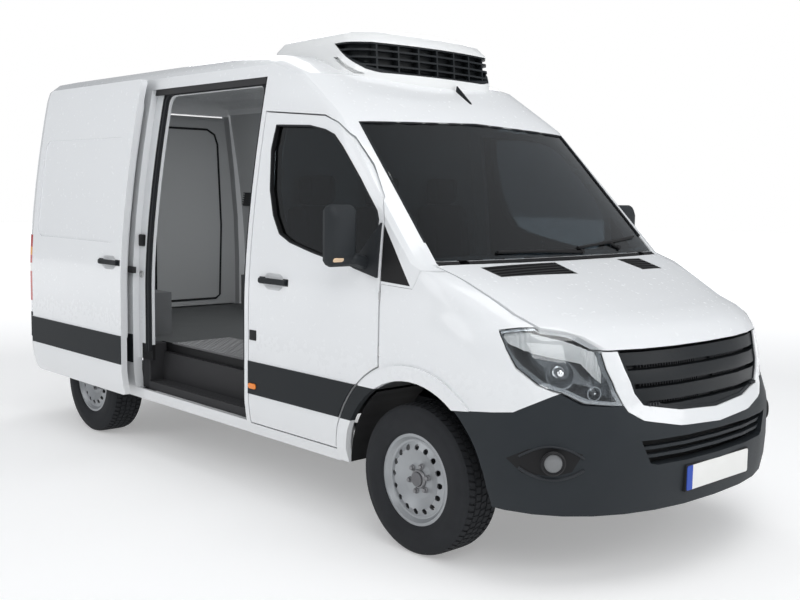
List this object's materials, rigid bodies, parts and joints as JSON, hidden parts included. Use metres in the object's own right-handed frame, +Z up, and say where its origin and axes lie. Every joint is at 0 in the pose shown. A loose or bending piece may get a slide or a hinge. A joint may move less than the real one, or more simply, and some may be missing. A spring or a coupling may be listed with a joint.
{
  "type": "refrigerated panel van",
  "caption": "Insulated panel van with a roof cooling unit, hinged cab doors, rear doors and bonnet, steered front wheels and a side door slid open.",
  "frame": {"origin": "on the ground, under the middle of the overall box", "axes": "+X forward, +Y to the vehicle's left, +Z up"},
  "size_m": [5.262, 2.4232, 2.585],
  "materials": {
    "body_white": "gloss",
    "unit_white": "gloss",
    "trim_dark": "matte",
    "grille_black": "satin",
    "glass": "gloss",
    "lamp_chrome": "gloss",
    "lamp_lens": "gloss",
    "seal": "matte",
    "lamp_red": "gloss",
    "lining": "satin",
    "underbody": "matte",
    "cast_dark": "rough",
    "steel": "satin",
    "rim_silver": "satin",
    "tyre": "matte",
    "seat_cloth": "cloth"
  },
  "bodies": {
    "van": {"chassis_frame": "underbody", "front_subframe": "underbody", "rear_axle": "underbody", "drivetrain": "cast_dark", "fuel_tank": "underbody", "exhaust": "steel", "cab_floor": "trim_dark", "load_floor": "lining", "wheel_boxes": "lining", "bulkhead": "lining", "cab_frame": "body_white", "side_left": "body_white", "side_right": "body_white", "roof": "body_white", "windscreen": "glass", "wing_left": "body_white", "wing_right": "body_white", "arch_liners": "trim_dark", "front_bumper": "trim_dark", "grille": "grille_black", "grille_frame": "body_white", "headlamps": "lamp_chrome", "headlamp_lenses": "lamp_lens", "tail_lamps": "lamp_red", "wipers": "trim_dark", "hinge_pins": "steel", "sliding_door": "body_white", "slide_rails": "underbody", "door_seals": "seal", "entry_step": "trim_dark", "rear_step": "trim_dark", "roof_unit": "unit_white", "roof_unit_grille": "grille_black", "evaporator": "lining", "seats": "seat_cloth", "dashboard": "trim_dark"},
    "bonnet": {"bonnet": "body_white", "bonnet_arms": "underbody"},
    "cab_door_left": {"cab_door_left": "body_white", "door_hinge_left": "steel", "door_glass_left": "glass", "mirror_left": "trim_dark"},
    "cab_door_right": {"cab_door_right": "body_white", "door_hinge_right": "steel", "door_glass_right": "glass", "mirror_right": "trim_dark"},
    "rear_door_left": {"rear_door_left": "body_white"},
    "rear_door_right": {"rear_door_right": "body_white"},
    "knuckle_left": {"knuckle_left": "cast_dark"},
    "knuckle_right": {"knuckle_right": "cast_dark"},
    "wheel_fl": {"tyre_fl": "tyre", "rim_fl": "rim_silver"},
    "wheel_fr": {"tyre_fr": "tyre", "rim_fr": "rim_silver"},
    "wheel_rl": {"tyre_rl": "tyre", "rim_rl": "rim_silver"},
    "wheel_rr": {"tyre_rr": "tyre", "rim_rr": "rim_silver"}
  },
  "joints": [
    {"name": "bonnet_hinge", "type": "hinge", "parent": "van", "child": "bonnet", "pos_m": [1.627, 0, 1.345], "axis": [0, -1, 0], "range_deg": [0, 50]},
    {"name": "cab_door_left_hinge", "type": "hinge", "parent": "van", "child": "cab_door_left", "pos_m": [1.39, 0.981, 1], "axis": [0, 0, -1], "range_deg": [0, 70]},
    {"name": "cab_door_right_hinge", "type": "hinge", "parent": "van", "child": "cab_door_right", "pos_m": [1.39, -0.981, 1], "axis": [0, 0, 1], "range_deg": [0, 70]},
    {"name": "rear_door_left_hinge", "type": "hinge", "parent": "van", "child": "rear_door_left", "pos_m": [-2.617, 0.86, 1.2], "axis": [0, 0, -1], "range_deg": [0, 180]},
    {"name": "rear_door_right_hinge", "type": "hinge", "parent": "van", "child": "rear_door_right", "pos_m": [-2.617, -0.86, 1.2], "axis": [0, 0, 1], "range_deg": [0, 180]},
    {"name": "steer_left", "type": "hinge", "parent": "van", "child": "knuckle_left", "pos_m": [1.619, 0.82, 0.356], "axis": [0, 0, 1], "range_deg": [-35, 35]},
    {"name": "steer_right", "type": "hinge", "parent": "van", "child": "knuckle_right", "pos_m": [1.619, -0.82, 0.356], "axis": [0, 0, 1], "range_deg": [-35, 35]},
    {"name": "wheel_fl_spin", "type": "hinge", "parent": "knuckle_left", "child": "wheel_fl", "pos_m": [1.619, 0.855, 0.356], "axis": [0, 1, 0], "continuous": true},
    {"name": "wheel_fr_spin", "type": "hinge", "parent": "knuckle_right", "child": "wheel_fr", "pos_m": [1.619, -0.855, 0.356], "axis": [0, 1, 0], "continuous": true},
    {"name": "wheel_rl_spin", "type": "hinge", "parent": "van", "child": "wheel_rl", "pos_m": [-1.631, 0.855, 0.356], "axis": [0, 1, 0], "continuous": true},
    {"name": "wheel_rr_spin", "type": "hinge", "parent": "van", "child": "wheel_rr", "pos_m": [-1.631, -0.855, 0.356], "axis": [0, 1, 0], "continuous": true}
  ],
  "couplings": [
    {"joint": "steer_right", "follows": "steer_left", "ratio": 1}
  ]
}
